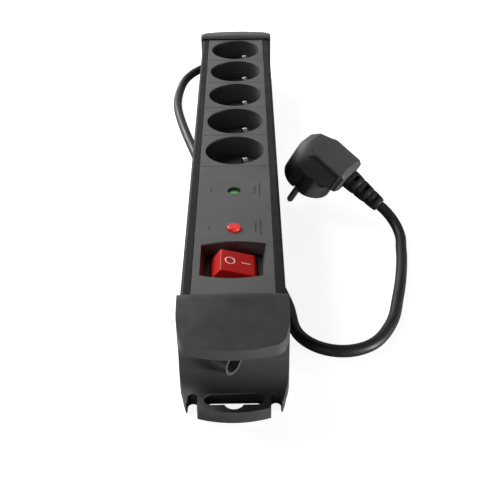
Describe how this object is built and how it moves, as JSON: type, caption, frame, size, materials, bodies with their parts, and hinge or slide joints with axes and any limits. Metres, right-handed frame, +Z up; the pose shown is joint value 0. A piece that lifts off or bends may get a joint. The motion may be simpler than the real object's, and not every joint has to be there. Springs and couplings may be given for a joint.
{
  "type": "desk power strip",
  "caption": "Desk power strip: a row of earthed sockets, rocker switch, reset button, indicator, cable-winding end caps and a mains lead with a right-angle plug.",
  "frame": {"origin": "on the resting plane, under the middle of the strip, the cord and its plug left out", "axes": "+X across the strip, +Y along it towards the end where the cord leaves, +Z up out of the sockets"},
  "size_m": [0.1683, 0.4476, 0.053],
  "materials": {
    "housing": "satin charcoal anodised channel",
    "tile": "fine spark-eroded matt grey",
    "cap": "satin moulded charcoal",
    "tray": "matt moulded",
    "shutter": "matt moulded",
    "brass": "rolled strip",
    "nickel": "bright plated",
    "copper": "rolled strip",
    "red": "semi-gloss translucent red",
    "reset_red": "semi-gloss red",
    "green": "clear green lens",
    "board": "solder mask",
    "varistor": "dipped epoxy",
    "breaker": "matt moulded",
    "steel": "zinc plated",
    "rubber": "flexible matt black",
    "plug": "moulded matt dark grey",
    "live": "smooth brown",
    "neutral": "smooth blue",
    "earth": "smooth green and yellow"
  },
  "bodies": {
    "root": {"housing_profile": "housing", "socket_insert_1": "tile", "earth_pin_1": "nickel", "socket_insert_2": "tile", "earth_pin_2": "nickel", "socket_insert_3": "tile", "earth_pin_3": "nickel", "socket_insert_4": "tile", "earth_pin_4": "nickel", "socket_insert_5": "tile", "earth_pin_5": "nickel", "contact_carrier": "tray", "live_bus_bar": "brass", "neutral_bus_bar": "brass", "earth_bus_bar": "copper", "control_panel": "tile", "indicator_lens": "green", "indicator_led": "green", "surge_board": "board", "varistor_1": "varistor", "varistor_2": "varistor", "varistor_3": "varistor", "breaker_body": "breaker", "reset_spring": "steel", "switch_frame": "tray", "line_terminal_1": "brass", "line_terminal_2": "brass", "load_terminal_1": "brass", "load_terminal_2": "brass", "front_end_cap": "cap", "rear_end_cap": "cap", "front_cap_screw_1": "steel", "front_cap_screw_2": "steel", "rear_cap_screw_1": "steel", "rear_cap_screw_2": "steel", "cord_strain_relief": "rubber", "mains_cord": "rubber", "live_lead": "live", "neutral_lead": "neutral", "earth_lead": "earth", "plug_body": "plug", "plug_face": "plug", "plug_pin_1": "nickel", "plug_pin_2": "nickel", "plug_earth_strap": "nickel", "plug_boot": "rubber"},
    "rocker": {"rocker": "red"},
    "contact_lever_1": {"contact_lever_1": "copper"},
    "contact_lever_2": {"contact_lever_2": "copper"},
    "reset_button": {"reset_button": "reset_red"},
    "shutter_1": {"shutter_1": "shutter"},
    "shutter_2": {"shutter_2": "shutter"},
    "shutter_3": {"shutter_3": "shutter"},
    "shutter_4": {"shutter_4": "shutter"},
    "shutter_5": {"shutter_5": "shutter"}
  },
  "joints": [
    {"name": "rocker_tilt", "type": "hinge", "parent": "root", "child": "rocker", "pos_m": [0, -0.146, 0.038], "axis": [0, 1, 0], "range_deg": [-28, 0]},
    {"name": "contact_lever_1_tilt", "type": "hinge", "parent": "root", "child": "contact_lever_1", "pos_m": [0, -0.151, 0.0245], "axis": [0, 1, 0], "range_deg": [0, 18.5]},
    {"name": "contact_lever_2_tilt", "type": "hinge", "parent": "root", "child": "contact_lever_2", "pos_m": [0, -0.141, 0.0245], "axis": [0, 1, 0], "range_deg": [0, 18.5]},
    {"name": "reset_press", "type": "slide", "parent": "root", "child": "reset_button", "axis": [0, 0, 1], "range_m": [-0.0015, 0.003], "stiffness_N_per_m": 300, "deforming": ["reset_spring"]},
    {"name": "shutter_1_slide", "type": "slide", "parent": "root", "child": "shutter_1", "axis": [-0.7071, 0.7071, 0], "range_m": [0, 0.007], "stiffness_N_per_m": 60, "springref_m": -0.002},
    {"name": "shutter_2_slide", "type": "slide", "parent": "root", "child": "shutter_2", "axis": [-0.7071, 0.7071, 0], "range_m": [0, 0.007], "stiffness_N_per_m": 60, "springref_m": -0.002},
    {"name": "shutter_3_slide", "type": "slide", "parent": "root", "child": "shutter_3", "axis": [-0.7071, 0.7071, 0], "range_m": [0, 0.007], "stiffness_N_per_m": 60, "springref_m": -0.002},
    {"name": "shutter_4_slide", "type": "slide", "parent": "root", "child": "shutter_4", "axis": [-0.7071, 0.7071, 0], "range_m": [0, 0.007], "stiffness_N_per_m": 60, "springref_m": -0.002},
    {"name": "shutter_5_slide", "type": "slide", "parent": "root", "child": "shutter_5", "axis": [-0.7071, 0.7071, 0], "range_m": [0, 0.007], "stiffness_N_per_m": 60, "springref_m": -0.002}
  ],
  "couplings": [
    {"joint": "contact_lever_1_tilt", "follows": "rocker_tilt", "ratio": -0.64286},
    {"joint": "contact_lever_2_tilt", "follows": "rocker_tilt", "ratio": -0.64286}
  ]
}
